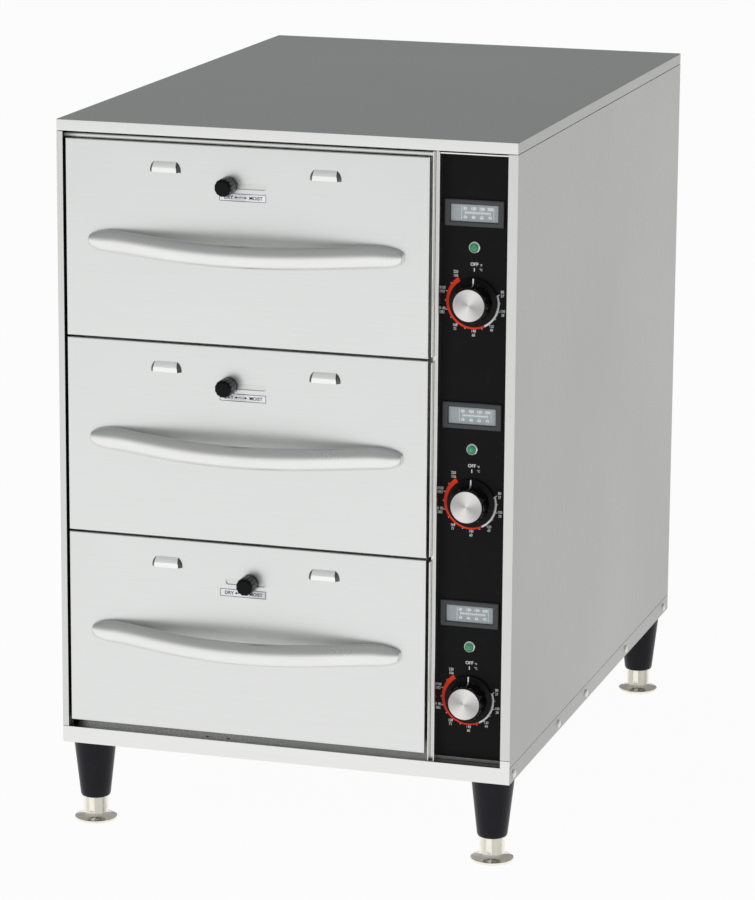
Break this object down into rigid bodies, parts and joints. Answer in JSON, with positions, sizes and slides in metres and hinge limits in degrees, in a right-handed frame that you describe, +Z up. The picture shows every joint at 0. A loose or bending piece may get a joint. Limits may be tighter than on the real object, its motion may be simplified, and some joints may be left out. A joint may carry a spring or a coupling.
{
  "type": "food warming drawer cabinet",
  "caption": "Narrow stainless food warmer cabinet with stacked sliding drawers, a black control strip of dials and thermometers on the right, and adjustable legs.",
  "frame": {"origin": "on the floor at the centre of the overall box", "axes": "+Z up, the drawers face -Y, +X to the right as seen from the front"},
  "size_m": [0.49, 0.7714, 0.751],
  "materials": {
    "shell_steel": "stainless steel, fine vertical or lengthwise brushing",
    "drawer_steel": "stainless steel, faint horizontal brushing",
    "inner_steel": "plain mill-finish stainless sheet",
    "rail_steel": "zinc-plated rail",
    "pan_steel": "polished stainless pan",
    "handle_metal": "satin die casting",
    "panel_black": "semi-gloss black with white and red print",
    "leg_black": "satin black",
    "foot_metal": "warm nickel plate, fine turning marks",
    "screw_metal": "plated screw",
    "element_metal": "heat-tinted element sheath",
    "housing_plastic": "dark grey moulding",
    "knob_plastic": "glossy black moulding",
    "cap_metal": "spun disc",
    "bezel_chrome": "plated ring",
    "lens_green": "faceted green lens",
    "window_clear": "clear plate",
    "blanket": "mineral wool blanket",
    "fitting_plastic": "black nylon"
  },
  "bodies": {
    "cabinet": {"top_cover": "shell_steel", "side_panel_left": "shell_steel", "side_panel_right": "shell_steel", "rear_panel": "shell_steel", "base_tray": "shell_steel", "front_frame": "shell_steel", "divider_post": "shell_steel", "control_panel": "panel_black", "cavity_floor": "inner_steel", "cavity_wall_left": "inner_steel", "cavity_wall_right": "inner_steel", "cavity_ceiling": "inner_steel", "cavity_back": "inner_steel", "insulation": "blanket", "cabinet_screws": "screw_metal", "leg_bodies": "leg_black", "leg_nuts": "screw_metal", "cord_gland": "fitting_plastic", "terminal_block": "fitting_plastic", "heaters": "element_metal", "thermostats": "housing_plastic", "thermometers": "housing_plastic", "thermometer_windows": "window_clear", "pilot_lights": "bezel_chrome", "pilot_lenses": "lens_green", "cabinet_rails": "rail_steel"},
    "drawer_1": {"drawer_front_1": "drawer_steel", "handle_1": "handle_metal", "handle_screws_1": "screw_metal", "drawer_frame_1": "inner_steel", "drawer_rails_1": "rail_steel", "food_pan_1": "pan_steel"},
    "vent_slide_1": {"vent_shutter_1": "inner_steel", "vent_knob_1": "knob_plastic"},
    "dial_1": {"knob_1": "knob_plastic", "knob_cap_1": "cap_metal"},
    "drawer_2": {"drawer_front_2": "drawer_steel", "handle_2": "handle_metal", "handle_screws_2": "screw_metal", "drawer_frame_2": "inner_steel", "drawer_rails_2": "rail_steel", "food_pan_2": "pan_steel"},
    "vent_slide_2": {"vent_shutter_2": "inner_steel", "vent_knob_2": "knob_plastic"},
    "dial_2": {"knob_2": "knob_plastic", "knob_cap_2": "cap_metal"},
    "drawer_3": {"drawer_front_3": "drawer_steel", "handle_3": "handle_metal", "handle_screws_3": "screw_metal", "drawer_frame_3": "inner_steel", "drawer_rails_3": "rail_steel", "food_pan_3": "pan_steel"},
    "vent_slide_3": {"vent_shutter_3": "inner_steel", "vent_knob_3": "knob_plastic"},
    "dial_3": {"knob_3": "knob_plastic", "knob_cap_3": "cap_metal"},
    "levelling_foot_front_left": {"foot_front_left": "foot_metal"},
    "levelling_foot_front_right": {"foot_front_right": "foot_metal"},
    "levelling_foot_rear_left": {"foot_rear_left": "foot_metal"},
    "levelling_foot_rear_right": {"foot_rear_right": "foot_metal"}
  },
  "joints": [
    {"name": "drawer_1_slide", "type": "slide", "parent": "cabinet", "child": "drawer_1", "axis": [0, -1, 0], "range_m": [0, 0.52]},
    {"name": "vent_1_slide", "type": "slide", "parent": "drawer_1", "child": "vent_slide_1", "axis": [1, 0, 0], "range_m": [0, 0.037]},
    {"name": "dial_1_turn", "type": "hinge", "parent": "cabinet", "child": "dial_1", "pos_m": [0.1958, -0.33325, 0.5865], "axis": [0, 1, 0], "range_deg": [0, 315]},
    {"name": "drawer_2_slide", "type": "slide", "parent": "cabinet", "child": "drawer_2", "axis": [0, -1, 0], "range_m": [0, 0.52]},
    {"name": "vent_2_slide", "type": "slide", "parent": "drawer_2", "child": "vent_slide_2", "axis": [1, 0, 0], "range_m": [0, 0.037]},
    {"name": "dial_2_turn", "type": "hinge", "parent": "cabinet", "child": "dial_2", "pos_m": [0.1958, -0.33325, 0.3805], "axis": [0, 1, 0], "range_deg": [0, 315]},
    {"name": "drawer_3_slide", "type": "slide", "parent": "cabinet", "child": "drawer_3", "axis": [0, -1, 0], "range_m": [0, 0.52]},
    {"name": "vent_3_slide", "type": "slide", "parent": "drawer_3", "child": "vent_slide_3", "axis": [1, 0, 0], "range_m": [-0.0225, 0.0145]},
    {"name": "dial_3_turn", "type": "hinge", "parent": "cabinet", "child": "dial_3", "pos_m": [0.1958, -0.33325, 0.1745], "axis": [0, 1, 0], "range_deg": [0, 315]},
    {"name": "foot_front_left_height", "type": "slide", "parent": "cabinet", "child": "levelling_foot_front_left", "axis": [0, 0, -1], "range_m": [0, 0.02]},
    {"name": "foot_front_right_height", "type": "slide", "parent": "cabinet", "child": "levelling_foot_front_right", "axis": [0, 0, -1], "range_m": [0, 0.02]},
    {"name": "foot_rear_left_height", "type": "slide", "parent": "cabinet", "child": "levelling_foot_rear_left", "axis": [0, 0, -1], "range_m": [0, 0.02]},
    {"name": "foot_rear_right_height", "type": "slide", "parent": "cabinet", "child": "levelling_foot_rear_right", "axis": [0, 0, -1], "range_m": [0, 0.02]}
  ]
}
